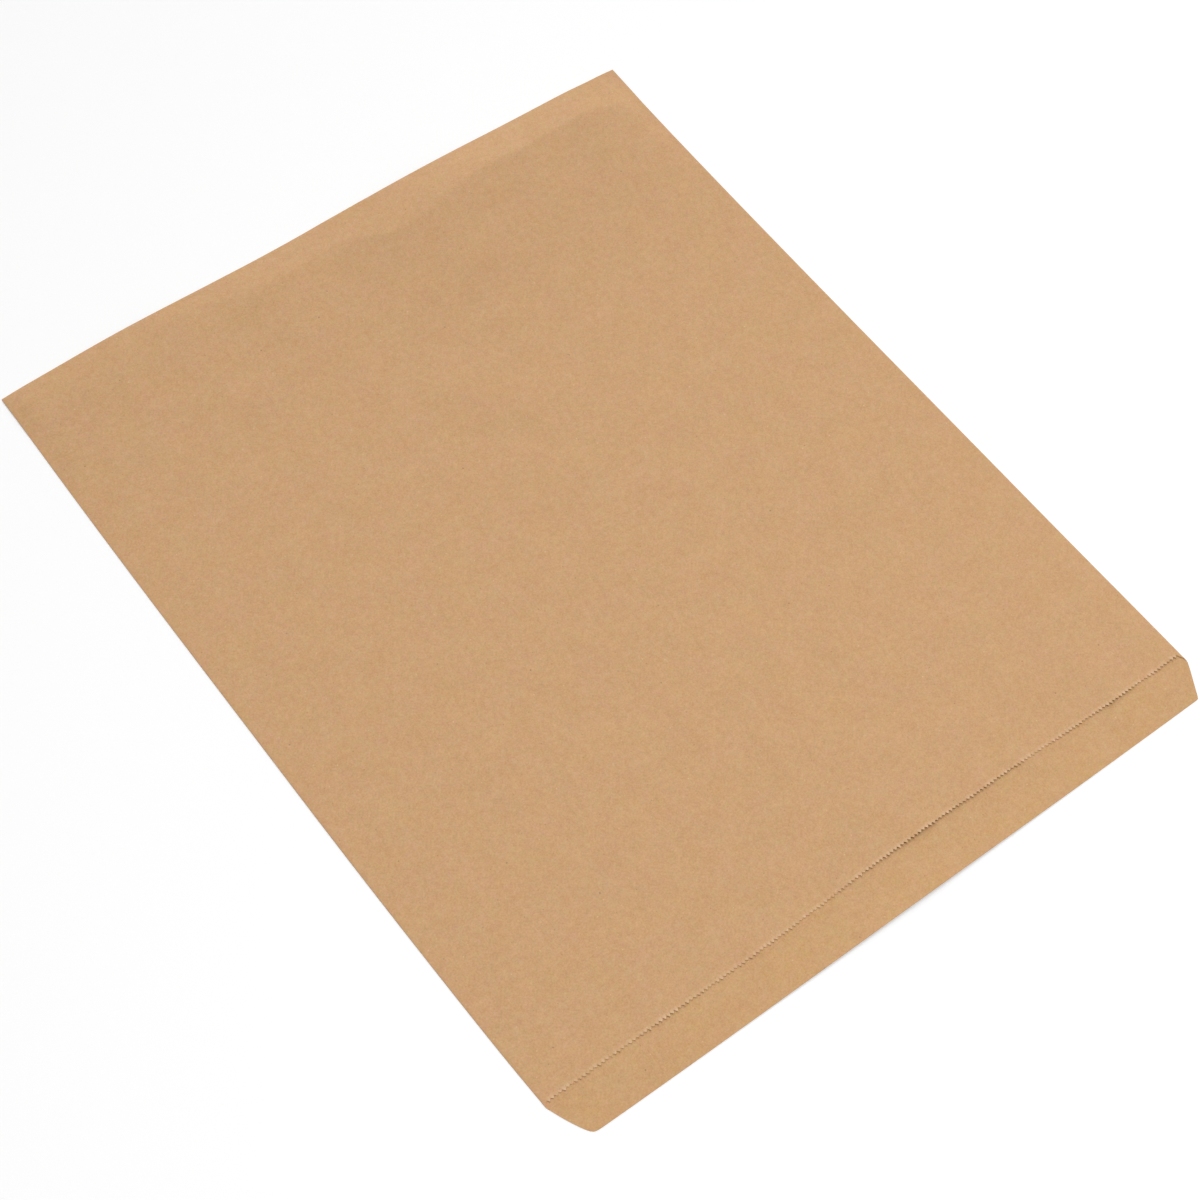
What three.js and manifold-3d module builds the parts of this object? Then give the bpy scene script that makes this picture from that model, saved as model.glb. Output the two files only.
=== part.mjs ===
// Flat kraft paper merchandise bag, lying face up with its mouth towards -Y.
// One web of paper is lapped and glued into a flat tube. A stepped, toothed cut leaves the back
// ply standing past the front ply at the mouth as a lip, and the front ply standing past the back
// ply at the other end as a flap, which is turned round the bottom fold and glued to the back.
// Units are millimetres: X across the bag, Y along it, Z up from the surface that it lies on.
import * as THREE from "three";
import { mergeVertices } from "three/addons/utils/BufferGeometryUtils.js";
import Module from "manifold-3d";

const INCH = 25.4;

// The bag's outline and its paper
const BAG_WIDTH = 12 * INCH; // from side fold to side fold
const BAG_LENGTH = 15 * INCH; // from the bottom fold to the lip's outer edge
const PAPER = 0.1; // one ply

// The stepped cut: the lip at the mouth, and the flap at the bottom
const STEP_DEPTH = 19; // lip past the front ply's edge, and flap past the bottom fold
const EAR_DEPTH = 3; // from the front ply's edge to where the slanting cut meets the side fold
const LIP_CORNER_INSET = 8.2; // from the side fold to the lip's corner
const LIP_CORNER_RADIUS = 1.2;
const TOOTH_PITCH = INCH / 15;
const TOOTH_DEPTH = 0.7;

// The lengthwise seam in the back, where the left-hand ply lies on the right-hand one
const SEAM_CENTRE = 9.5; // X of the lap's middle
const SEAM_LAP = 19;
const PLY_RAMP = 5; // length in which a ply settles past the edge of the ply beneath it

// How the folds stand and the front ply bulges
const SIDE_GAP = 0.4; // clear height inside a side fold
const FOLD_GAP = 0.1; // clear height beside the bottom fold
const PUFF_HEIGHT = 1.1; // ridge where the stiff bottom fold lifts the front ply
const PUFF_REACH = 12; // from the bottom fold to that ridge's top
const LOFT_HEIGHT = 0.7; // even bulge of the front ply along the bag
const LOFT_REACH = 50;
const GAPE_HEIGHT = 0.8; // extra rise of the front ply at the mouth
const GAPE_REACH = 45;
const CROWN_POWER = 2.6; // how flat the bulge stays across the bag

// How finely the bag is drawn
const FRONT_COLUMNS = 18;
const FOLD_FACETS = 6;
const FLAP_ROWS = 5;
const BODY_ROWS = 10;
const BODY_ROW_GROWTH = 1.4; // rows lie closer together near the bottom fold

const GLUE_BITE = 0.02; // how far glued plies share material
const CUT_MARGIN = 1; // how far a cutting solid stands past what it cuts
const CUT_HEIGHT = 20;

const halfWidth = BAG_WIDTH / 2;
const foldY = BAG_LENGTH / 2;
const lipY = -BAG_LENGTH / 2;
const mouthY = lipY + STEP_DEPTH;
const flapEdgeY = foldY - STEP_DEPTH;
const rampStartY = flapEdgeY - PLY_RAMP;
const slantSlope = (STEP_DEPTH - EAR_DEPTH) / LIP_CORNER_INSET;
const earWidth = EAR_DEPTH / slantSlope;
const sideHeight = SIDE_GAP + 2 * PAPER;
const foldHeight = FOLD_GAP + 3 * PAPER; // front ply, back ply and flap
const foldRadius = foldHeight / 2;
const noseY = foldY - foldRadius;
const sideMiddleZ = sideHeight / 2;
const seamLeft = SEAM_CENTRE - SEAM_LAP / 2; // the right-hand ply's free edge, outside the bag
const seamRight = SEAM_CENTRE + SEAM_LAP / 2; // the left-hand ply's free edge, inside the bag

const { clamp, lerp } = THREE.MathUtils;

const wasm = await Module();
wasm.setup();

function toSolid(geometry) {
  const bare = geometry.index ? geometry.toNonIndexed() : geometry.clone();
  bare.deleteAttribute("normal");
  bare.deleteAttribute("uv");
  const merged = mergeVertices(bare, 1e-4);
  return new wasm.Manifold(
    new wasm.Mesh({
      numProp: 3,
      vertProperties: merged.getAttribute("position").array,
      triVerts: new Uint32Array(merged.index.array),
    }),
  );
}

function toGeometry(solid) {
  const mesh = solid.getMesh();
  const geometry = new THREE.BufferGeometry();
  geometry.setAttribute("position", new THREE.BufferAttribute(mesh.vertProperties, mesh.numProp));
  geometry.setIndex(new THREE.BufferAttribute(mesh.triVerts, 1));
  const faceted = geometry.toNonIndexed();
  faceted.computeVertexNormals();
  return faceted;
}

// How far the flap beneath lifts the back ply off the surface at y.
function flapLift(y) {
  return PAPER * clamp((y - rampStartY) / PLY_RAMP, 0, 1);
}

// Top of the side folds at y: pressed flat at the bottom, a little sprung along the bag.
function sideTop(y) {
  return lerp(foldHeight, flapLift(y) + sideHeight, clamp((foldY - y) / STEP_DEPTH, 0, 1));
}

// Height of the front ply's bulge above its side folds.
function crown(x, y) {
  const fromFold = (foldY - y) / PUFF_REACH;
  const puff = PUFF_HEIGHT * fromFold * Math.exp(1 - fromFold);
  const loft = LOFT_HEIGHT * (1 - Math.exp(-(foldY - y) / LOFT_REACH));
  const gape = GAPE_HEIGHT * Math.exp(-(((y - mouthY) / GAPE_REACH) ** 2));
  return (puff + loft + gape) * (1 - Math.abs(x / halfWidth) ** CROWN_POWER);
}

// Half-round side fold from angle start to angle end about its centre, without its two end points.
function sideFold(side, centreZ, radius, reach, start, end) {
  const points = [];
  for (let i = 1; i < FOLD_FACETS; i++) {
    const angle = lerp(start, end, i / FOLD_FACETS);
    points.push([side * (halfWidth - reach) + radius * Math.cos(angle), centreZ + radius * Math.sin(angle)]);
  }
  return points;
}

// The tube's section at y as [x, z] points, anticlockwise seen from the mouth: the outer face with
// inset 0, or the inner face with inset PAPER. The back's points hold the seam's two steps.
function tubeSection(y, inset) {
  const floorZ = flapLift(y);
  const top = sideTop(y);
  const reach = (top - floorZ) / 2;
  const centreZ = (top + floorZ) / 2;
  const radius = reach - inset;
  const flatHalf = halfWidth - reach;
  const outerBack = [
    [seamLeft - PLY_RAMP, floorZ],
    [seamLeft, floorZ + PAPER],
    [seamLeft, floorZ],
  ];
  const innerBack = [
    [seamLeft - PLY_RAMP, floorZ + inset],
    [seamLeft, floorZ + inset + PAPER],
    [seamRight, floorZ + inset + PAPER],
    [seamRight, floorZ + inset],
  ];
  const front = [];
  for (let i = 0; i <= FRONT_COLUMNS; i++) {
    const x = lerp(flatHalf, -flatHalf, i / FRONT_COLUMNS);
    front.push([x, top - inset + crown(x, y) - crown(flatHalf, y)]);
  }
  return [
    [-flatHalf, centreZ - radius],
    ...(inset === 0 ? outerBack : innerBack),
    [flatHalf, centreZ - radius],
    ...sideFold(1, centreZ, radius, reach, -Math.PI / 2, Math.PI / 2),
    ...front,
    ...sideFold(-1, centreZ, radius, reach, Math.PI / 2, (3 * Math.PI) / 2),
  ];
}

// A closed skin through sections of equal point count, in order of growing y.
function loft(sections) {
  const count = sections[0].points.length;
  const positions = sections.flatMap(({ y, points }) => points.flatMap(([x, z]) => [x, y, z]));
  const index = [];
  for (let s = 0; s < sections.length - 1; s++) {
    for (let i = 0; i < count; i++) {
      const a = s * count + i;
      const b = s * count + ((i + 1) % count);
      index.push(a, b + count, b, a, a + count, b + count);
    }
  }
  const lastRow = (sections.length - 1) * count;
  const capOf = ({ points }) =>
    THREE.ShapeUtils.triangulateShape(
      points.map(([x, z]) => new THREE.Vector2(x, z)),
      [],
    );
  for (const [a, b, c] of capOf(sections[0])) index.push(a, b, c);
  for (const [a, b, c] of capOf(sections.at(-1))) index.push(lastRow + a, lastRow + c, lastRow + b);
  const geometry = new THREE.BufferGeometry();
  geometry.setAttribute("position", new THREE.Float32BufferAttribute(positions, 3));
  geometry.setIndex(index);
  return geometry;
}

// Y of each section, from the lip's outer edge to the bottom fold.
function sectionRows() {
  const rows = [lipY, mouthY];
  for (let i = BODY_ROWS - 1; i >= 0; i--) {
    rows.push(lerp(rampStartY, mouthY, (i / BODY_ROWS) ** BODY_ROW_GROWTH));
  }
  for (let i = 0; i <= FLAP_ROWS; i++) {
    rows.push(lerp(flapEdgeY, noseY, i / FLAP_ROWS));
  }
  return rows;
}

// The flat tube: its outer skin less the pocket, which runs out through the mouth.
function tube() {
  const rows = sectionRows();
  const outer = rows.map((y) => ({ y, points: tubeSection(y, 0) }));
  const inner = rows.map((y) => ({ y, points: tubeSection(y, PAPER) }));
  inner.at(-1).y = noseY - PAPER;
  inner.unshift({ y: lipY - CUT_MARGIN, points: inner[0].points });
  return toSolid(loft(outer)).subtract(toSolid(loft(inner)));
}

// Toothed edge of the front ply from x = -(half width less the ear) to +(the same), tips at y.
function toothedEdge(y) {
  const reach = halfWidth - earWidth;
  const teeth = Math.floor((2 * reach) / TOOTH_PITCH);
  const start = -(teeth * TOOTH_PITCH) / 2;
  const points = [[-reach, y]];
  for (let i = 0; i < teeth; i++) {
    const x = start + i * TOOTH_PITCH;
    points.push([x, y], [x + TOOTH_PITCH / 2, y + TOOTH_DEPTH]);
  }
  points.push([-start, y], [reach, y]);
  return points;
}

function shapeOf(points) {
  return new THREE.Shape(points.map(([x, y]) => new THREE.Vector2(x, y)));
}

function plate(shape, z, depth) {
  return toSolid(new THREE.ExtrudeGeometry(shape, { depth, bevelEnabled: false }).translate(0, 0, z));
}

// Everything of the front ply past its toothed edge, with the slanting cuts through the side folds.
function mouthCutter() {
  const outside = halfWidth + CUT_MARGIN;
  const slantEndY = mouthY - EAR_DEPTH - CUT_MARGIN * slantSlope;
  const outline = shapeOf([
    ...toothedEdge(mouthY).reverse(),
    [-outside, slantEndY],
    [-outside, lipY - CUT_MARGIN],
    [outside, lipY - CUT_MARGIN],
    [outside, slantEndY],
  ]);
  return plate(outline, sideMiddleZ, CUT_HEIGHT);
}

// What the slanting cut takes off the lip at one side, with the lip's corner rounded.
function lipCornerCutter(side) {
  const foldPoint = new THREE.Vector2(halfWidth, mouthY - EAR_DEPTH);
  const corner = new THREE.Vector2(halfWidth - LIP_CORNER_INSET, lipY);
  const turn = Math.atan2(foldPoint.y - corner.y, foldPoint.x - corner.x);
  const tangent = LIP_CORNER_RADIUS * Math.tan(turn / 2);
  const outline = new THREE.Shape();
  outline.moveTo(corner.x - tangent, corner.y);
  outline.absarc(corner.x - tangent, corner.y + LIP_CORNER_RADIUS, LIP_CORNER_RADIUS, -Math.PI / 2, turn - Math.PI / 2);
  outline.lineTo(foldPoint.x, foldPoint.y);
  outline.lineTo(halfWidth + CUT_MARGIN, foldPoint.y);
  outline.lineTo(halfWidth + CUT_MARGIN, lipY - CUT_MARGIN);
  outline.lineTo(corner.x - tangent, lipY - CUT_MARGIN);
  const right = plate(outline, -CUT_MARGIN, CUT_HEIGHT);
  return side > 0 ? right : right.mirror([1, 0, 0]);
}

// The flap glued under the back ply, as wide as the bag, with its slanted corners and toothed edge.
function flap() {
  const sideEndY = flapEdgeY + EAR_DEPTH;
  const outline = shapeOf([
    ...toothedEdge(flapEdgeY),
    [halfWidth, sideEndY],
    [halfWidth, noseY],
    [-halfWidth, noseY],
    [-halfWidth, sideEndY],
  ]);
  return plate(outline, 0, PAPER + GLUE_BITE);
}

// The bottom fold's round edge, where the front ply turns down into the flap.
function bottomFold() {
  const profile = new THREE.Shape();
  profile.moveTo(noseY - foldHeight, 0);
  profile.lineTo(noseY, 0);
  profile.absarc(noseY, foldRadius, foldRadius, -Math.PI / 2, Math.PI / 2);
  profile.lineTo(noseY - PAPER, foldHeight);
  profile.lineTo(noseY - foldHeight, PAPER + GLUE_BITE);
  const bar = new THREE.ExtrudeGeometry(profile, {
    depth: BAG_WIDTH,
    bevelEnabled: false,
    curveSegments: FOLD_FACETS,
  });
  const alongX = new THREE.Matrix4().makeBasis(
    new THREE.Vector3(0, 1, 0),
    new THREE.Vector3(0, 0, 1),
    new THREE.Vector3(1, 0, 0),
  );
  return toSolid(bar.applyMatrix4(alongX).translate(-halfWidth, 0, 0));
}

function bagSolid() {
  return tube()
    .subtract(mouthCutter())
    .subtract(lipCornerCutter(1))
    .subtract(lipCornerCutter(-1))
    .add(flap())
    .add(bottomFold());
}

const kraftPaper = new THREE.MeshStandardMaterial({ color: 0xcba278, roughness: 0.85, metalness: 0 });

const bag = new THREE.Mesh(toGeometry(bagSolid()), kraftPaper);
bag.name = "paper_bag";

const model = new THREE.Group();
model.add(bag);

export default model;
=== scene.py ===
import math

import bpy
import numpy as np
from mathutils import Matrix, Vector


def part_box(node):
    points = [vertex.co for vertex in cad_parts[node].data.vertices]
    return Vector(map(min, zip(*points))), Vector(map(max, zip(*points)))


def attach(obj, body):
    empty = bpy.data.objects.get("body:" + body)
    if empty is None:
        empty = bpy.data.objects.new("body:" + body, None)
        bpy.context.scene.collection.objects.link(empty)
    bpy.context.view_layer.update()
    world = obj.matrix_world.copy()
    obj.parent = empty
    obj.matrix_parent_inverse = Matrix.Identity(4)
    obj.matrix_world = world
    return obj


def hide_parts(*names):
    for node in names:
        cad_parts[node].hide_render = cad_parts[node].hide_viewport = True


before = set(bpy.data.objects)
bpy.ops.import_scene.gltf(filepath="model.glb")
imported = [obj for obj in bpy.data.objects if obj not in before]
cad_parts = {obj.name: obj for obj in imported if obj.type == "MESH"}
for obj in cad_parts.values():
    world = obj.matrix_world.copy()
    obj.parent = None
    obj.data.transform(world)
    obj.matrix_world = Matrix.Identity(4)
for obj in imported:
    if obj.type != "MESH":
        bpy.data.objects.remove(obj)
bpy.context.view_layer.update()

# A flat kraft merchandise bag, lying face up with its mouth towards -Y.
# The bag's lengths are in millimetres until a mesh or a material is made, and the studio's in metres.
MM = 0.001

# The bag's outline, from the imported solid
LOW, HIGH = (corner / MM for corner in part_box("paper_bag"))
HALF_WIDTH = HIGH.x
BOTTOM_Y = HIGH.y
LIP_Y = LOW.y

# Paper and cut
PAPER = 0.1
STEP_DEPTH = 18.4  # from the lip's edge to the middle of the front ply's teeth
FLAP_DEPTH = 19.0
TOOTH_PITCH = 25.4 / 15
TOOTH_DEPTH = 0.6
TOOTH_UNEVENNESS = 0.6
TOOTH_CURL = 0.25
TOOTH_SEED = 3
MOUTH_Y = LIP_Y + STEP_DEPTH
EAR_X = (round(HALF_WIDTH / TOOTH_PITCH) - 1) * TOOTH_PITCH  # where the teeth end beside a side fold

# Seam in the back
SEAM_INNER_X = 19.0  # free edge of the left-hand ply, inside the bag
SEAM_OUTER_X = 0.0  # free edge of the right-hand ply, outside the bag
PLY_RAMP = 5.0
GHOST_HEIGHT = 0.12  # how far the seam lifts the front ply that lies on it
GHOST_MARGIN = 7.0
GHOST_RUN = 8.0

# Fineness of the sheet
FOLD_FACETS = 8
MOUTH_ROWS = 18
MOUTH_ROWS_END = -150.0
FLAP_ROWS = 8
BACK_SPACING = 4.0
LAP_COLUMNS = (0.0, 5.0, 12.0)  # distances from the seam's inner edge
SIDE_COLUMNS = (1.6, 2.5, 3.4, 4.4, 5.4, 6.4, 7.2, 8.0, 8.8, 9.8, 11.2, 13.2, 16.0)
BODY_ZONES = (
    # y of the zone's end, rows in it
    (116.0, 76),
    (164.0, 22),
    (BOTTOM_Y, 22),
)

# How the bag lies, in plan. Each bend is its centre, its width and how far it goes.
SIDE_REACH = 178.0  # how far from the middle the sides' bow is full
MIDDLE_SHIFT = -0.3
END_SHIFT_CUBIC = 1.3
END_SHIFT_SQUARE = 0.17
FOLD_END_SHIFT = (191.0, 9.0, 0.25)
WIDTH_BENDS = ((-60.0, 60.0, 0.2), (192.0, 18.0, 0.3), (-182.0, 24.0, -0.45))
END_NARROWING = 0.22
FOLD_INSET = 0.55
FOLD_CORNERS = (
    # side, how far the bottom fold's corner falls back, how suddenly
    (1.0, 1.5, 9),
    (-1.0, 1.1, 7),
)
FOLD_BENDS = ((-28.0, 18.0, -0.3), (50.0, 18.0, -0.22), (139.0, 9.0, -0.38))
FOLD_ROOM = 1.6 * PAPER  # room that the rows leave for the front ply to turn round the bottom fold
FOLD_DRAW_START = 150.0  # y from which the rows are drawn towards the bottom fold's line
EAR_DRAW_BACK = 3.0  # how much less the flap reaches at its ends

# The lip: its edge bows out, and its middle curls up
LIP_BOW = 0.5
LIP_BOW_POWER = 4
LIP_BEND = (2.0, 58.0, -0.02)  # centre, width and how far it reaches out
LIP_CURL = (2.0, 58.0, 0.7)  # centre, width and height
LIP_CURL_START = -175.0
LIP_CURL_REACH = 15.5
LIP_CURL_POWER = 1.8

# The front ply's edge at the mouth
CUT_INSET = 0.35
CUT_DRAWN_BACK = (
    # start, rise, end and fall along x, how far the edge is drawn back
    (-66.0, 76.0, 124.0, 70.0, 1.45),
    (-19.5, 3.0, 42.5, 3.0, 0.25),
)

# The slanting cut over each side fold and the lip's end. It falls towards the lip.
CUT_SLOPE = 1.75
LIP_ENDS = {
    # fall beside the last tooth, round the side fold and for each millimetre inwards, how fast that
    # slope slackens, softness of the lip's corner
    "left": (1.9, 0.5, 2.80, 0.091, 0.9),
    "right": (CUT_SLOPE * (HALF_WIDTH - EAR_X), 1.9, CUT_SLOPE, 0.0, 0.35),
}
SLACKENING_RUN = 15.0

# Heights: what lifts every ply, and the space inside the bag
LIFTS = (
    # x, distance from the bottom fold, width, reach, height
    (-95.0, 0.0, 32.0, 46.0, 1.30),
    (48.0, 0.0, 36.0, 46.0, 1.70),
    (152.4, 0.0, 24.0, 30.0, 0.20),
    (-152.4, 0.0, 24.0, 26.0, 0.10),
)

RIDGE = (
    # x, height of the ridge in front of the bottom fold, distance of its top from the fold
    (-152.4, 1.10, 10.0),
    (-132.0, 0.95, 10.0),
    (-110.0, 0.70, 9.0),
    (-84.0, 0.35, 8.0),
    (-72.0, 0.80, 9.0),
    (-60.0, 1.10, 10.5),
    (-50.0, 1.60, 13.0),
    (-38.0, 2.20, 15.5),
    (-26.0, 2.30, 15.5),
    (-12.0, 1.90, 14.5),
    (4.0, 2.20, 16.5),
    (20.0, 2.70, 23.0),
    (34.0, 3.30, 24.0),
    (46.0, 3.70, 22.5),
    (58.0, 4.00, 20.0),
    (70.0, 4.30, 18.0),
    (92.0, 4.30, 18.0),
    (108.0, 4.00, 17.5),
    (128.0, 4.00, 18.0),
    (152.4, 1.60, 24.0),
)
RIDGE_RUN = 62.0  # how far the ridge slopes away from its top into the front ply
RIDGE_TAIL = 0.16  # softness of the end of that slope
RIDGE_INSET = 9.0  # how far inwards of a side fold the ridge is full

GAPE = (
    # x, extra space under the front ply's edge at the mouth
    (-152.4, 0.0),
    (-116.0, 0.0),
    (-98.0, 0.15),
    (-80.0, 0.0),
    (-56.0, 0.03),
    (-40.0, 0.0),
    (-22.0, 0.01),
    (-5.0, 0.18),
    (6.0, 0.27),
    (22.0, 0.58),
    (36.0, 0.38),
    (48.0, 0.32),
    (66.0, 0.25),
    (76.0, 0.0),
    (90.0, 0.0),
    (99.0, 0.14),
    (107.0, 0.14),
    (118.0, 0.42),
    (134.0, 0.05),
    (146.0, 0.22),
    (152.4, 0.12),
)
GAPE_REACH = 38.0  # how far up the bag the gape fades out
GAPE_INSET = 5.0  # how far inwards of a side fold the gape is full

COCKLES = (
    # x, y, length, width, angle, height
    (-131.0, 143.0, 18.0, 6.0, 80.0, 0.51),
    (-143.0, 174.0, 16.0, 4.0, 55.0, 0.37),
    (-122.0, 168.0, 15.0, 4.5, 62.0, 0.41),
    (-104.0, 176.0, 14.0, 4.5, 60.0, 0.31),
    (-100.0, 150.0, 22.0, 8.0, 60.0, -0.42),
    (-88.0, 152.0, 20.0, 7.0, 40.0, 0.27),
    (-70.0, 131.0, 18.0, 7.0, -25.0, 0.44),
    (-3.0, 90.0, 13.0, 9.0, -30.0, 0.48),
    (15.0, 71.0, 11.0, 8.0, -20.0, 0.51),
    (4.0, 56.0, 20.0, 5.0, -45.0, -0.31),
    (-58.0, 68.0, 10.0, 8.0, 0.0, 0.27),
    (45.0, 136.0, 20.0, 12.0, 0.0, 0.59),
    (98.0, 30.0, 14.0, 9.0, 30.0, 0.24),
    (6.0, -152.0, 12.0, 6.0, 20.0, 0.27),
    (40.0, 8.0, 12.0, 6.0, 0.0, 0.17),
    (-36.0, 15.0, 12.0, 6.0, 0.0, 0.17),
    (-42.0, -60.0, 22.0, 12.0, 30.0, -0.42),
    (85.0, -68.0, 26.0, 14.0, 25.0, -0.48),
    (112.0, 96.0, 12.0, 4.0, 60.0, -0.20),
)
MOUTH_CALM = 14.0  # cockles and ripples fade out this near to the mouth
FOLD_CALM = 12.0  # and this near to the bottom fold

BODY_SPACE = 0.45  # clear height in the middle of the bag
BODY_SPACE_REACH = 110.0  # how far from the bottom fold that height is gained
BODY_SPACE_POWER = 3  # how suddenly it is lost towards the side folds
SHOULDER_X = (40.0, 90.0, HALF_WIDTH, 12.0)  # start, rise, end and fall of a soft rise on the right
SHOULDER_Y = (-120.0, 60.0, 0.2)
SIDE_FOLD_SPACE = 0.05  # space inside a side fold, more in its middle and beside the mouth
SIDE_FOLD_MIDDLE = (0.0, 120.0, 0.10)
SIDE_FOLD_MOUTH = (MOUTH_Y, 12.0, 0.10)
SIDE_FOLD_SPRUNG_FROM = 138.0
SIDE_FOLD_SPRUNG_RUN = 14.0

RIPPLE_SEED = 12
RIPPLE_COUNT = 48
RIPPLE_SLOPE = 0.010
RIPPLE_SHORTEST = 13.0
RIPPLE_LONGEST = 42.0
tooth_random = np.random.RandomState(TOOTH_SEED)
ripple_random = np.random.RandomState(RIPPLE_SEED)
ripple_length = ripple_random.uniform(RIPPLE_SHORTEST, RIPPLE_LONGEST, RIPPLE_COUNT)
ripple_angle = ripple_random.uniform(0.0, math.pi, RIPPLE_COUNT)
ripple_phase = ripple_random.uniform(0.0, 2 * math.pi, RIPPLE_COUNT)

# Kraft colours
OUTER_FACE = (0.589, 0.346, 0.171, 1.0)
INNER_FACE = (0.583, 0.343, 0.160, 1.0)
BARK = (0.20, 0.095, 0.045, 1.0)
PALE_FLECK = (0.86, 0.66, 0.44, 1.0)
# Pale tips of the teeth: ragged fibres of the cut, with a painted highlight that lightens the shade under
# the front ply's edge
TORN_EDGE_AND_HIGHLIGHT = (0.80, 0.58, 0.38, 1.0)
TONE_STEP = (0.166, 0.142, 0.110)
DRIFT_STEP = (0.031, 0.021, 0.019)
BROAD_DRIFT_STEP = (0.012, 0.009, 0.010)

# How much each layer of the paper adds to its tone, or hides of its colour
CLOUD_TONE = 0.26
MOTTLE_TONE = 0.50
GRAIN_TONE = 0.85
FIBRE_TONE = 0.16
LARGE_SPECK_COVER = 0.55
SMALL_SPECK_COVER = 0.4
FLECK_COVER = 0.4
# Cover of the teeth's pale paint, part ragged fibres and part painted highlight
TORN_AND_HIGHLIGHT_COVER = 0.6
TORN_AND_HIGHLIGHT_LEAST = 0.1  # the least and the most painted of the teeth, for ragged fibres and as a painted highlight, as a share of that cover
TORN_AND_HIGHLIGHT_MOST = 1.3

# Fibres
FIBRES = (
    # angle, thickness
    (8.0, 0.34),
    (-52.0, 0.38),
)
FIBRE_STRETCH = 0.085  # a strand's thickness over its length
FIBRE_SHIFT = 0.05  # keeps the layers apart, for each degree of their angle
FIBRE_SHARPNESS = 16.0
FIBRE_PATCH_GAIN = 5.0
FIBRE_PATCH_CUT = 2.4

# Specks: the smallest one's share of the radius asked for, and how solid they are and how fast they fade
SPECK_LEAST = 0.5
SPECK_CORE = 1.6
SPECK_FALL = 1.2

# Surface
GRAIN_RELIEF = 0.02
PAPER_ROUGHNESS = 0.75
PAPER_SPECULAR = 0.3
CREASE_ANGLE = 35.0

# Floor, a hair below the paper so that no two faces share a plane
FLOOR_GAP = 0.02 * MM
FLOOR_HALF = 3.0
FLOOR_COLOUR = (0.88, 0.88, 0.88, 1.0)
FLOOR_ROUGHNESS = 0.9
FLOOR_SPECULAR = 0.1
FLOOR_GLOW = 0.16

# Light, each lamp's share of what makes a level white surface fully white
WHITE = (1.0, 1.0, 1.0, 1.0)
SKY_SHARE = 0.365
SOFTBOX_TOWARDS = (0.42, 0.74, 0.49)
SOFTBOX_SPREAD = 60.0
SOFTBOX_SHARE = 0.28
OVERHEAD_PLACE = (0.36, -0.48, 1.80)
OVERHEAD_SIZE = 0.8
OVERHEAD_SHARE = 0.42

# Camera, looking down at the bag from beside its mouth
CAMERA_PLACE = (-0.34366, -0.39600, 0.83623)
CAMERA_TURN = (30.672, -2.599, -37.168)
CAMERA_LENS = 76.13
CAMERA_SENSOR = 36.0
CAMERA_CLIP_START = 0.01


def bump(t, centre, width, height=1.0):
    return height * np.exp(-(((t - centre) / width) ** 2))


def ease(t):
    t = np.clip(t, 0.0, 1.0)
    return t * t * (3.0 - 2.0 * t)


def plateau(t, start, rise, end, fall):
    """0 outside start and end and 1 between them, by soft slopes of the lengths rise and fall."""
    return ease((t - start) / rise) * ease((end - t) / fall)


def hump(x, y, centre_x, centre_y, length, width, angle, height):
    """Soft oval hump, or a hollow where height is negative, with its length turned by angle from X."""
    c, s = math.cos(math.radians(angle)), math.sin(math.radians(angle))
    along = (x - centre_x) * c + (y - centre_y) * s
    across = (y - centre_y) * c - (x - centre_x) * s
    return height * np.exp(-((along / length) ** 2) - (across / width) ** 2)


# Outline
def sideways(y):
    """Shift of the bag's middle line, which lies to the left halfway along and to the right at its ends."""
    along = np.minimum(np.abs(y / SIDE_REACH), 1.0)
    bow = MIDDLE_SHIFT + END_SHIFT_CUBIC * along ** 3 + END_SHIFT_SQUARE * along ** 2
    return bow + bump(y, *FOLD_END_SHIFT)


def half_width(y):
    narrowing = END_NARROWING * (y / SIDE_REACH) ** 2
    return HALF_WIDTH + sum(bump(y, *bend) for bend in WIDTH_BENDS) - narrowing


def fold_line(x):
    """Y of the bottom fold, whose corners fall back."""
    corners = sum(
        fall * np.clip(side * x / HALF_WIDTH, 0.0, 1.0) ** power for side, fall, power in FOLD_CORNERS
    )
    return BOTTOM_Y - FOLD_INSET - corners + sum(bump(x, *bend) for bend in FOLD_BENDS)


def lip_line(x):
    return LIP_Y - LIP_BOW * (1.0 - np.abs(x / HALF_WIDTH) ** LIP_BOW_POWER) + bump(x, *LIP_BEND)


def cut_line(x):
    """Y of the front ply's edge at the mouth, at the root of its teeth."""
    return MOUTH_Y + CUT_INSET + sum(amount * plateau(x, *span) for *span, amount in CUT_DRAWN_BACK)


def soft_floor(y, lowest, softness):
    """y, but never below lowest, and rounded where it gets there."""
    over = (y - lowest) / softness
    return lowest + softness * np.logaddexp(0.0, over)


def cut_end(kind, value):
    """Y at which a column meets the stepped cut, which slants across the folds and the lip's ends."""
    if kind == "front":
        return float(cut_line(value))
    side = "left" if "left" in kind else "right"
    outwards = -1.0 if side == "left" else 1.0
    beside_tooth, round_fold, slope, slackening, softness = LIP_ENDS[side]
    at_fold = float(cut_line(outwards * EAR_X)) - beside_tooth
    if "fold" in kind:
        return at_fold - round_fold * (90.0 - value) / 180.0
    inwards = HALF_WIDTH - outwards * value
    fall = slope * inwards - slackening * inwards * min(inwards, SLACKENING_RUN)
    return float(soft_floor(at_fold - round_fold - fall, float(lip_line(value)), softness))


# Heights
def ripple(x, y):
    """Faint unevenness that machine-made paper keeps, the same all over."""
    total = np.zeros_like(x + y)
    for length, angle, phase in zip(ripple_length, ripple_angle, ripple_phase):
        turns = 2 * math.pi / length
        size = RIPPLE_SLOPE / turns * math.sqrt(2.0 / RIPPLE_COUNT)
        total += size * np.sin(turns * (x * math.cos(angle) + y * math.sin(angle)) + phase)
    return total


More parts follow.
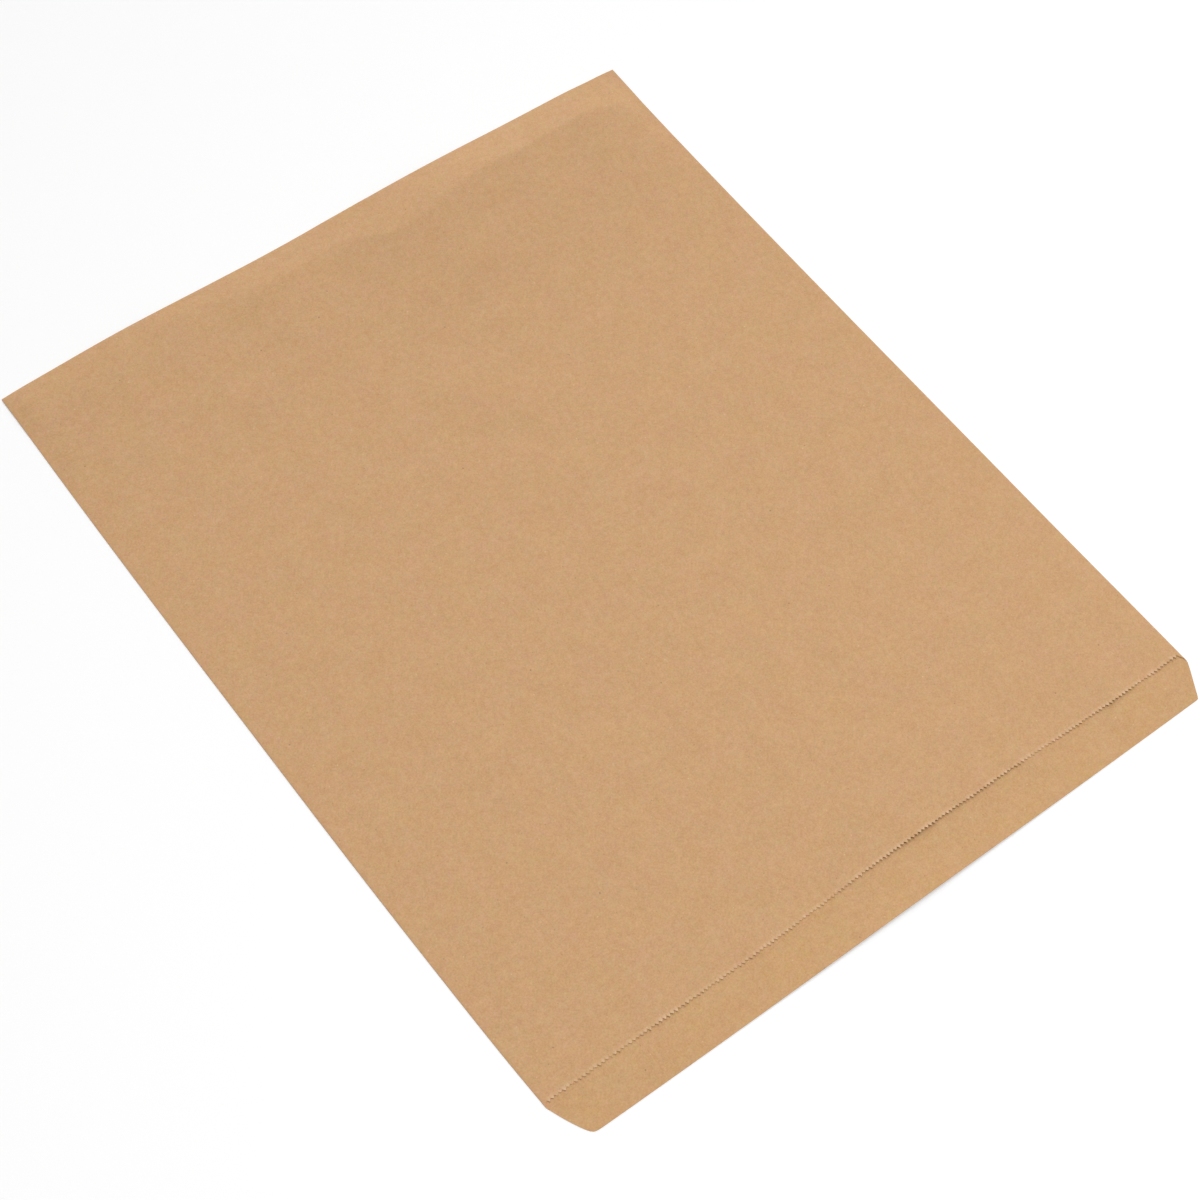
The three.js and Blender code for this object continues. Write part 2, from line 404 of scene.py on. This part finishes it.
def along_width(table, column, x):
    """Smooth value of a table's column at x, through each of its stops."""
    stops = np.array([row[0] for row in table])
    values = np.array([row[column] for row in table])
    slopes = np.gradient(values, stops)
    i = np.clip(np.searchsorted(stops, x) - 1, 0, len(stops) - 2)
    step = stops[i + 1] - stops[i]
    t = (x - stops[i]) / step
    from_start = (1.0 + 2.0 * t) * values[i] + t * step * slopes[i]
    from_end = (3.0 - 2.0 * t) * values[i + 1] - (1.0 - t) * step * slopes[i + 1]
    return (1.0 - t) ** 2 * from_start + t ** 2 * from_end


def lift(x, y):
    d = BOTTOM_Y - y
    raised = sum(
        height * bump(x, centre, width) * bump(d, start, reach)
        for centre, start, width, reach, height in LIFTS
    )
    along_lip = np.maximum((LIP_CURL_START - y) / LIP_CURL_REACH, 0.0)
    return raised + bump(x, *LIP_CURL) * along_lip ** LIP_CURL_POWER


def flap_step(y):
    return PAPER * np.clip((y - (BOTTOM_Y - FLAP_DEPTH - PLY_RAMP)) / PLY_RAMP, 0.0, 1.0)


def fold_gap(x, y):
    """Space inside a side fold: pressed close, and a little sprung beside the mouth on the right."""
    pressed = SIDE_FOLD_SPACE + bump(y, *SIDE_FOLD_MIDDLE)
    on_right = ease((x - SIDE_FOLD_SPRUNG_FROM) / SIDE_FOLD_SPRUNG_RUN)
    return pressed + bump(y, *SIDE_FOLD_MOUTH) * on_right


def ridge_height(x, y):
    """The soft ridge in front of the bottom fold: steep towards the fold, with a long slope behind."""
    d = BOTTOM_Y - y
    top = along_width(RIDGE, 2, x)
    behind = np.clip(d - top, 0.0, None) / RIDGE_RUN
    slope = RIDGE_TAIL * np.logaddexp(0.0, (1.0 - behind) / RIDGE_TAIL)
    return along_width(RIDGE, 1, x) * np.minimum(d / top, 1.0) * slope


def inside(x, y):
    """Clear height between the back ply and the front ply."""
    d = BOTTOM_Y - y
    inwards = HALF_WIDTH - np.abs(x)
    near_mouth = bump(y, MOUTH_Y, GAPE_REACH)
    away = 1.0 - bump(y, MOUTH_Y, MOUTH_CALM)
    across = 1.0 - np.abs(x / HALF_WIDTH) ** BODY_SPACE_POWER
    body = BODY_SPACE * (1.0 - bump(d, 0.0, BODY_SPACE_REACH)) * (1.0 - near_mouth)
    uneven = (sum(hump(x, y, *cockle) for cockle in COCKLES) + ripple(x, y)) * away
    soft = across * (body + uneven * np.clip(d / FOLD_CALM, 0.0, 1.0))
    ridge = ease(inwards / RIDGE_INSET) * ridge_height(x, y)
    gape = ease(inwards / GAPE_INSET) * np.maximum(along_width(GAPE, 1, x), 0.0) * near_mouth
    shoulder = plateau(x, *SHOULDER_X) * bump(y, *SHOULDER_Y) * away
    return fold_gap(x, y) + soft + ridge + gape + shoulder


def back_height(x, y, ply):
    """Middle of the back ply, left or right of the seam."""
    z = lift(x, y) + PAPER / 2 + flap_step(y)
    if ply == "left":
        z = z + PAPER * np.clip((x - (SEAM_OUTER_X - PLY_RAMP)) / PLY_RAMP, 0.0, 1.0)
    return z


def front_height(x, y):
    seam = plateau(x, SEAM_OUTER_X - GHOST_MARGIN, GHOST_RUN, SEAM_INNER_X + GHOST_MARGIN, GHOST_RUN)
    return lift(x, y) + PAPER / 2 + flap_step(y) + PAPER + GHOST_HEIGHT * seam + inside(x, y)


# Columns and rows of the web
def web_columns():
    """Kind and place of each column, from the left-hand ply's free edge round to the right-hand ply's."""
    inner = HALF_WIDTH - SIDE_COLUMNS[-1]
    ramp = SEAM_OUTER_X - PLY_RAMP
    left = [SEAM_INNER_X - s for s in LAP_COLUMNS] + [SEAM_OUTER_X, (SEAM_OUTER_X + ramp) / 2]
    left += list(np.linspace(ramp, -inner, int((inner + ramp) / BACK_SPACING) + 1))
    left += [s - HALF_WIDTH for s in reversed(SIDE_COLUMNS[:-1])]
    right = [HALF_WIDTH - s for s in SIDE_COLUMNS]
    right += list(np.linspace(inner, SEAM_OUTER_X, int(inner / BACK_SPACING) + 1))[1:]
    teeth = round(2 * EAR_X / TOOTH_PITCH)
    turn = np.linspace(-90.0, 90.0, FOLD_FACETS + 1)
    columns = [("back left", x) for x in left]
    columns += [("left fold", angle) for angle in turn]
    columns += [("front", -EAR_X + 2 * EAR_X * i / teeth) for i in range(teeth + 1)]
    columns += [("right fold", angle) for angle in reversed(turn)]
    columns += [("back right", x) for x in right]
    return columns


def column_x(kind, value):
    """X of a column. A side fold's columns all have the fold's, and their value is an angle."""
    if "fold" not in kind:
        return value
    return -HALF_WIDTH if "left" in kind else HALF_WIDTH


def body_rows():
    """Y of each row from where the mouth's rows end to the bottom fold."""
    rows = []
    start = MOUTH_ROWS_END
    for end, count in BODY_ZONES:
        rows += list(np.linspace(start, end, count, endpoint=False))
        start = end
    return np.array(rows + [BOTTOM_Y])


def column_rows(kind, value):
    """Y of each row of a column, from the stepped cut to the bottom fold."""
    to_mouth = np.linspace(1.0, 0.0, MOUTH_ROWS, endpoint=False)
    mouth_rows = MOUTH_ROWS_END + (cut_end(kind, value) - MOUTH_ROWS_END) * to_mouth
    y = np.concatenate([mouth_rows, body_rows()])
    drawn = fold_line(column_x(kind, value)) - FOLD_ROOM - BOTTOM_Y
    return y + drawn * ease((y - FOLD_DRAW_START) / (BOTTOM_Y - FOLD_DRAW_START))


def place(kind, value, y):
    """Points of the paper's middle on a column, at each y."""
    x = np.full_like(y, column_x(kind, value))
    shift = sideways(y)
    half = half_width(y)
    if "fold" in kind:
        under = back_height(x, y, "right")
        radius = (front_height(x, y) - under) / 2
        angle = math.radians(value)
        out = half - radius + radius * math.cos(angle)
        z = under + radius + radius * math.sin(angle)
        return np.stack([np.sign(x) * out + shift, y, z], -1)
    z = front_height(x, y) if kind == "front" else back_height(x, y, kind.split()[1])
    return np.stack([x * half / HALF_WIDTH + shift, y, z], -1)


# Sheet
def join_rows(faces, first, second):
    """Quads between two rows or columns of vertex numbers."""
    for i in range(len(first) - 1):
        faces.append([first[i], first[i + 1], second[i + 1], second[i]])


def add_flap(points, faces, turned, x, start):
    """Turns the front ply round the bottom fold and runs it on as the flap.

    Turned are the numbers of the front ply's last points, x their columns and start their places.
    Returns the numbers of the points along the flap's free edge.
    """
    flap_z = lift(x, start[:, 1]) + PAPER / 2
    radius = (start[:, 2] - flap_z) / 2
    ear = np.clip((np.abs(x) - EAR_X) / (HALF_WIDTH - EAR_X), 0.0, 1.0)
    free_edge = BOTTOM_Y - FLAP_DEPTH + EAR_DRAW_BACK * ear
    previous = turned
    for k in range(1, FOLD_FACETS + FLAP_ROWS + 1):
        row = start.copy()
        if k <= FOLD_FACETS:
            angle = math.radians(90.0 - 180.0 * k / FOLD_FACETS)
            row[:, 1] += radius * math.cos(angle)
            row[:, 2] = flap_z + radius + radius * math.sin(angle)
        else:
            row[:, 1] += (free_edge - start[:, 1]) * (k - FOLD_FACETS) / FLAP_ROWS
            row[:, 0] += sideways(row[:, 1]) - sideways(start[:, 1])
            row[:, 0] += (half_width(row[:, 1]) - half_width(start[:, 1])) * x / HALF_WIDTH
            row[:, 2] = lift(x, row[:, 1]) + PAPER / 2
        current = list(range(len(points), len(points) + len(row)))
        points.extend(row)
        join_rows(faces, current, previous)
        previous = current
    return previous


def build_sheet():
    """The whole web as a sheet without thickness, its outer face outwards.

    Returns its points, faces, and the rows of points along the front ply's edge and the flap's edge.
    """
    columns = web_columns()
    grid = np.array([place(kind, value, column_rows(kind, value)) for kind, value in columns])
    number = np.arange(grid.shape[0] * grid.shape[1]).reshape(grid.shape[:2])
    points = list(grid.reshape(-1, 3))
    faces = []
    for first, second in zip(number[:-1], number[1:]):
        join_rows(faces, first, second)

    front = [i for i, (kind, _) in enumerate(columns) if kind == "front"]
    mouth_edge = [int(number[i, 0]) for i in front]
    front = [front[0] - 1] + front + [front[-1] + 1]
    turned = [int(number[i, -1]) for i in front]
    x = np.array([column_x(*columns[i]) for i in front])
    flap_edge = add_flap(points, faces, turned, x, grid[front, -1])
    return points, faces, mouth_edge, flap_edge[1:-1]


def split_edge(points, faces, edge):
    """Adds a point midway between each two along an edge, and returns the numbers of the new points."""
    between = {}
    for a, b in zip(edge[:-1], edge[1:]):
        between[frozenset((a, b))] = len(points)
        points.append((points[a] + points[b]) / 2)
    for i, face in enumerate(faces):
        pairs = [frozenset(pair) for pair in zip(face, face[1:] + face[:1])]
        if any(pair in between for pair in pairs):
            faces[i] = [n for a, pair in zip(face, pairs) for n in (a, between.get(pair)) if n is not None]
    return list(between.values())


# Materials
class Maker:
    """Short ways to add and wire the nodes of one material."""

    def __init__(self, name):
        self.material = bpy.data.materials.new(name)
        self.material.use_nodes = True
        self.nodes = self.material.node_tree.nodes
        self.links = self.material.node_tree.links
        self.shader = self.nodes["Principled BSDF"]

    def feed(self, socket, value):
        if isinstance(value, bpy.types.NodeSocket):
            self.links.new(value, socket)
        elif value is not None:
            socket.default_value = value

    def math(self, operation, a, b=None, c=None, clamp=False):
        node = self.nodes.new("ShaderNodeMath")
        node.operation = operation
        node.use_clamp = clamp
        for socket, value in zip(node.inputs, (a, b, c)):
            self.feed(socket, value)
        return node.outputs[0]

    def vector_math(self, operation, *values):
        node = self.nodes.new("ShaderNodeVectorMath")
        node.operation = operation
        for socket, value in zip(node.inputs, values):
            self.feed(socket, value)
        return node.outputs[0]

    def attribute(self, name):
        node = self.nodes.new("ShaderNodeAttribute")
        node.attribute_name = name
        return node.outputs["Fac"]

    def turned(self, vector, angle=0.0, scale=(1.0, 1.0, 1.0), shift=(0.0, 0.0, 0.0)):
        node = self.nodes.new("ShaderNodeMapping")
        self.feed(node.inputs["Vector"], vector)
        node.inputs["Location"].default_value = shift
        node.inputs["Rotation"].default_value = (0.0, 0.0, math.radians(angle))
        node.inputs["Scale"].default_value = scale
        return node.outputs[0]

    def noise_node(self, vector, size, detail, roughness):
        """Noise in the paper's plane, with features of about size millimetres."""
        node = self.nodes.new("ShaderNodeTexNoise")
        node.noise_dimensions = "2D"
        self.feed(node.inputs["Vector"], vector)
        node.inputs["Scale"].default_value = 1.0 / (size * MM)
        node.inputs["Detail"].default_value = detail
        node.inputs["Roughness"].default_value = roughness
        return node

    def noise(self, vector, size, detail, roughness=0.5):
        return self.noise_node(vector, size, detail, roughness).outputs[0]

    def noise_colour(self, vector, size, detail, roughness=0.5):
        """Three separate noises in one vector, each from -1 to 1."""
        out = self.noise_node(vector, size, detail, roughness).outputs[1]
        return self.vector_math("MULTIPLY_ADD", out, (2.0, 2.0, 2.0), (-1.0, -1.0, -1.0))

    def centred(self, value):
        return self.math("SUBTRACT", value, 0.5)

    def tint(self, colour, amount, step):
        """The colour with step added to it amount times."""
        return self.vector_math("MULTIPLY_ADD", amount, step, colour)

    def fibres(self, vector):
        """Thin strands, one layer for each angle and thickness, shown in patches."""
        strands = None
        for angle, thickness in FIBRES:
            shift = (FIBRE_SHIFT * angle, 0.0, 0.0)
            stretched = self.turned(vector, angle, (1.0, FIBRE_STRETCH, 1.0), shift)
            middle = self.math("ABSOLUTE", self.centred(self.noise(stretched, thickness, detail=0.0)))
            line = self.math("MULTIPLY_ADD", middle, -FIBRE_SHARPNESS, 1.0, clamp=True)
            strands = line if strands is None else self.math("MAXIMUM", strands, line)
        patches = self.noise(self.turned(vector, 33.0), size=1.1, detail=1.0)
        shown = self.math("MULTIPLY_ADD", patches, FIBRE_PATCH_GAIN, -FIBRE_PATCH_CUT, clamp=True)
        return self.math("MULTIPLY", strands, shown)

    def specks(self, vector, spacing, radius, share):
        """1 inside small round specks, 0 elsewhere. Share is how many of the cells hold one."""
        cells = self.nodes.new("ShaderNodeTexVoronoi")
        cells.voronoi_dimensions = "2D"
        self.feed(cells.inputs["Vector"], vector)
        cells.inputs["Scale"].default_value = 1.0 / (spacing * MM)
        pick = self.nodes.new("ShaderNodeSeparateColor")
        self.feed(pick.inputs[0], cells.outputs["Color"])
        chosen = self.math("LESS_THAN", pick.outputs[0], share)
        radius = radius / spacing
        reach = self.math("MULTIPLY_ADD", pick.outputs[1], radius, SPECK_LEAST * radius)
        close = self.math("DIVIDE", cells.outputs["Distance"], reach)
        faded = self.math("MULTIPLY", close, SPECK_FALL)
        soft = self.math("SUBTRACT", SPECK_CORE, faded, clamp=True)
        return self.math("MULTIPLY", soft, chosen)

    def mix(self, factor, a, b):
        node = self.nodes.new("ShaderNodeMix")
        node.data_type = "RGBA"
        colour_a, colour_b = [s for s in node.inputs if s.type == "RGBA"]
        self.feed(node.inputs[0], factor)
        self.feed(colour_a, a)
        self.feed(colour_b, b)
        return next(s for s in node.outputs if s.type == "RGBA")

    def cover(self, colour, mask, amount, over):
        """The colour with another laid over it, by amount where the mask is 1."""
        return self.mix(self.math("MULTIPLY", mask, amount), colour, over)


def kraft_paper():
    """Uncoated natural kraft: clouds of fibre, grain, single fibres, bark specks, and the teeth's cut edges
    painted pale, partly for their ragged fibres and partly as a painted highlight.
    """
    m = Maker("natural_kraft")
    where = m.nodes.new("ShaderNodeTexCoord").outputs["Object"]
    colour = m.mix(m.attribute("inside"), OUTER_FACE, INNER_FACE)

    # Light and dark: broad clouds where the pulp lies thicker, mottle and grain
    clouds = m.centred(m.noise(where, size=9.0, detail=2.0, roughness=0.55))
    mottle = m.centred(m.noise(m.turned(where, 12.0), size=2.4, detail=2.0, roughness=0.6))
    grain = m.noise(m.turned(where, 40.0), size=0.75, detail=1.0, roughness=0.8)
    tone = m.math("MULTIPLY_ADD", clouds, CLOUD_TONE, m.math("MULTIPLY", mottle, MOTTLE_TONE))
    tone = m.math("MULTIPLY_ADD", m.centred(grain), GRAIN_TONE, tone)
    tone = m.math("MULTIPLY_ADD", m.fibres(where), FIBRE_TONE, tone)
    colour = m.tint(colour, tone, TONE_STEP)

    # Hue: red, green and blue each drift by themselves
    drift = m.noise_colour(m.turned(where, 71.0), size=3.0, detail=2.0, roughness=0.62)
    colour = m.tint(colour, drift, DRIFT_STEP)
    broad = m.noise_colour(m.turned(where, 23.0), size=14.0, detail=1.0)
    colour = m.tint(colour, broad, BROAD_DRIFT_STEP)

    # Bark specks, large ones and small ones, pale flecks, and the teeth's cut edges painted pale: ragged
    # fibres, with a painted highlight that also lightens the shade under the cut
    large = m.math("MULTIPLY", m.specks(where, spacing=30.0, radius=0.24, share=0.55), LARGE_SPECK_COVER)
    small = m.specks(m.turned(where, 20.0), spacing=8.0, radius=0.17, share=0.6)
    small = m.math("MULTIPLY", small, SMALL_SPECK_COVER)
    colour = m.mix(m.math("MAXIMUM", large, small), colour, BARK)
    flecks = m.specks(m.turned(where, 50.0), spacing=9.0, radius=0.18, share=0.5)
    colour = m.cover(colour, flecks, FLECK_COVER, PALE_FLECK)
    # Painted highlight on the teeth's tips, together with the paler ragged fibres of the cut
    colour = m.cover(colour, m.attribute("tooth"), TORN_AND_HIGHLIGHT_COVER, TORN_EDGE_AND_HIGHLIGHT)
    m.feed(m.shader.inputs["Base Color"], colour)

    bumps = m.nodes.new("ShaderNodeBump")
    bumps.inputs["Strength"].default_value = 1.0
    bumps.inputs["Distance"].default_value = GRAIN_RELIEF * MM
    m.feed(bumps.inputs["Height"], grain)
    m.feed(m.shader.inputs["Normal"], bumps.outputs[0])
    m.shader.inputs["Roughness"].default_value = PAPER_ROUGHNESS
    m.shader.inputs["Specular IOR Level"].default_value = PAPER_SPECULAR
    return m.material


def background_share(nodes, links):
    """1 for rays that show the background, straight or by way of gloss or glass, and 0 for the others."""
    rays = nodes.new("ShaderNodeLightPath").outputs
    share = rays["Is Camera Ray"]
    for name in ("Is Glossy Ray", "Is Transmission Ray"):
        either = nodes.new("ShaderNodeMath")
        either.operation = "MAXIMUM"
        links.new(share, either.inputs[0])
        links.new(rays[name], either.inputs[1])
        share = either.outputs[0]
    return share


def pale_floor():
    m = Maker("pale_floor")
    m.shader.inputs["Base Color"].default_value = FLOOR_COLOUR
    m.shader.inputs["Roughness"].default_value = FLOOR_ROUGHNESS
    m.shader.inputs["Specular IOR Level"].default_value = FLOOR_SPECULAR
    seen = background_share(m.nodes, m.links)
    m.shader.inputs["Emission Color"].default_value = WHITE
    m.feed(m.shader.inputs["Emission Strength"], m.math("MULTIPLY", seen, FLOOR_GLOW))
    return m.material


# Teeth
def toothed_cut(paper):
    """Geometry Nodes that draw the teeth of the stepped cut out of the paper's edge."""
    tree = bpy.data.node_groups.new("toothed_cut", "GeometryNodeTree")
    tree.interface.new_socket("Sheet", in_out="INPUT", socket_type="NodeSocketGeometry")
    for name in ("Tooth depth", "Unevenness", "Curl"):
        tree.interface.new_socket(name, in_out="INPUT", socket_type="NodeSocketFloat")
    tree.interface.new_socket("Seed", in_out="INPUT", socket_type="NodeSocketInt")
    tree.interface.new_socket("Sheet", in_out="OUTPUT", socket_type="NodeSocketGeometry")
    nodes, links = tree.nodes, tree.links
    given = nodes.new("NodeGroupInput")
    result = nodes.new("NodeGroupOutput")

    def named(attribute):
        node = nodes.new("GeometryNodeInputNamedAttribute")
        node.data_type = "FLOAT"
        node.inputs["Name"].default_value = attribute
        return node.outputs["Attribute"]

    def calculate(operation, *values):
        node = nodes.new("ShaderNodeMath")
        node.operation = operation
        for socket, value in zip(node.inputs, values):
            links.new(value, socket)
        return node.outputs[0]

    # Every tip reaches out towards the mouth, some further than others, and a free one curls up.
    chance = nodes.new("FunctionNodeRandomValue")
    chance.data_type = "FLOAT"
    links.new(given.outputs["Seed"], chance.inputs["Seed"])
    luck = next(s for s in chance.outputs if s.enabled)
    reach = calculate("MULTIPLY_ADD", luck, given.outputs["Unevenness"], given.outputs["Tooth depth"])
    curl = calculate("MULTIPLY", calculate("MULTIPLY", luck, given.outputs["Curl"]), named("free"))
    offset = nodes.new("ShaderNodeCombineXYZ")
    links.new(reach, offset.inputs["Y"])
    links.new(curl, offset.inputs["Z"])
    towards_mouth = nodes.new("ShaderNodeVectorMath")
    towards_mouth.operation = "MULTIPLY"
    towards_mouth.inputs[1].default_value = (0.0, -1.0, 1.0)
    links.new(offset.outputs[0], towards_mouth.inputs[0])
    move = nodes.new("GeometryNodeSetPosition")
    links.new(given.outputs["Sheet"], move.inputs["Geometry"])
    links.new(named("tooth"), move.inputs["Selection"])
    links.new(towards_mouth.outputs[0], move.inputs["Offset"])

    realize = nodes.new("GeometryNodeRealizeInstances")
    links.new(move.outputs[0], realize.inputs[0])
    paint = nodes.new("GeometryNodeSetMaterial")
    paint.inputs["Material"].default_value = paper
    links.new(realize.outputs[0], paint.inputs["Geometry"])
    links.new(paint.outputs[0], result.inputs["Sheet"])
    return tree


def mark_teeth(mesh, mouth_tips, flap_tips):
    """Marks each tip with how pale it is painted, for its ragged fibres and as a painted highlight, and the
    mouth's tips as free to curl.
    """
    tooth = mesh.attributes.new("tooth", "FLOAT", "POINT")
    tips = mouth_tips + flap_tips
    # Each tip's pale paint, part ragged fibres and part painted highlight
    for i, tip_paint in zip(tips, tooth_random.uniform(TORN_AND_HIGHLIGHT_LEAST, TORN_AND_HIGHLIGHT_MOST, len(tips))):
        tooth.data[i].value = tip_paint
    free = mesh.attributes.new("free", "FLOAT", "POINT")
    for i in mouth_tips:
        free.data[i].value = 1.0


def set_inputs(modifier, chosen):
    for socket in modifier.node_group.interface.items_tree:
        if socket.in_out == "INPUT" and socket.name in chosen:
            modifier[socket.identifier] = chosen[socket.name]


def add_to_scene(name, data):
    thing = bpy.data.objects.new(name, data)
    bpy.context.scene.collection.objects.link(thing)
    return thing


def make_bag():
    points, faces, mouth_edge, flap_edge = build_sheet()
    mouth_tips = split_edge(points, faces, mouth_edge)
    flap_tips = split_edge(points, faces, flap_edge)
    mesh = bpy.data.meshes.new("kraft_bag")
    mesh.from_pydata([tuple(p * MM) for p in points], [], faces)
    mark_teeth(mesh, mouth_tips, flap_tips)
    bag = add_to_scene("kraft_bag", mesh)

    teeth = bag.modifiers.new("teeth", "NODES")
    teeth.node_group = toothed_cut(kraft_paper())
    chosen = {
        "Tooth depth": TOOTH_DEPTH * MM,
        "Unevenness": TOOTH_UNEVENNESS * MM,
        "Curl": TOOTH_CURL * MM,
        "Seed": TOOTH_SEED,
    }
    set_inputs(teeth, chosen)
    wall = bag.modifiers.new("paper", "SOLIDIFY")
    wall.thickness = PAPER * MM
    wall.offset = 0.0

    graph = bpy.context.evaluated_depsgraph_get()
    finished = bpy.data.meshes.new_from_object(bag.evaluated_get(graph))
    bag.modifiers.clear()
    bag.data = finished
    # The paper's inner faces come first, then its outer faces, and the strips along its edges last.
    inner = finished.attributes.new("inside", "FLOAT", "FACE")
    for i in range(len(faces)):
        inner.data[i].value = 1.0
    finished.polygons.foreach_set("use_smooth", [True] * len(finished.polygons))
    finished.set_sharp_from_angle(angle=math.radians(CREASE_ANGLE))
    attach(bag, "root")
    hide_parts("paper_bag")


# Studio
def make_floor():
    signs = ((-1, -1), (1, -1), (1, 1), (-1, 1))
    corners = [(x * FLOOR_HALF, y * FLOOR_HALF, -FLOOR_GAP) for x, y in signs]
    mesh = bpy.data.meshes.new("floor")
    mesh.from_pydata(corners, [], [(0, 1, 2, 3)])
    mesh.materials.append(pale_floor())
    floor = add_to_scene("floor", mesh)


def add_sun(name, direction, spread, share):
    """A broad even light that gives a level surface its share of full light."""
    toward = Vector(direction).normalized()
    light = bpy.data.lights.new(name, "SUN")
    light.angle = math.radians(spread)
    light.energy = share * math.pi / toward.z
    lamp = add_to_scene(name, light)
    lamp.location = toward
    lamp.rotation_euler = toward.to_track_quat("Z", "Y").to_euler()


def add_overhead(name, position, size, share):
    """A square lamp facing down, which gives the surface straight below it its share of full light."""
    light = bpy.data.lights.new(name, "AREA")
    light.size = size
    light.energy = share * math.pi ** 2 * position[2] ** 2
    lamp = add_to_scene(name, light)
    lamp.location = position
    lamp.visible_camera = False


def make_sky():
    """Even light from all round, behind which the background is white."""
    world = bpy.data.worlds.new("studio")
    bpy.context.scene.world = world
    world.use_nodes = True
    nodes, links = world.node_tree.nodes, world.node_tree.links
    sky = nodes["Background"]
    sky.inputs["Color"].default_value = WHITE
    strength = nodes.new("ShaderNodeMath")
    strength.operation = "MULTIPLY_ADD"
    links.new(background_share(nodes, links), strength.inputs[0])
    strength.inputs[1].default_value = 1.0 - SKY_SHARE
    strength.inputs[2].default_value = SKY_SHARE
    links.new(strength.outputs[0], sky.inputs["Strength"])


def make_camera():
    data = bpy.data.cameras.new("camera")
    data.lens = CAMERA_LENS
    data.sensor_width = CAMERA_SENSOR
    data.clip_start = CAMERA_CLIP_START
    camera = add_to_scene("camera", data)
    camera.location = CAMERA_PLACE
    camera.rotation_euler = [math.radians(angle) for angle in CAMERA_TURN]
    bpy.context.scene.camera = camera


make_bag()
make_floor()
add_sun("softbox", SOFTBOX_TOWARDS, SOFTBOX_SPREAD, SOFTBOX_SHARE)
add_overhead("overhead", OVERHEAD_PLACE, OVERHEAD_SIZE, OVERHEAD_SHARE)
make_sky()
make_camera()
bpy.context.scene.view_settings.view_transform = "Standard"
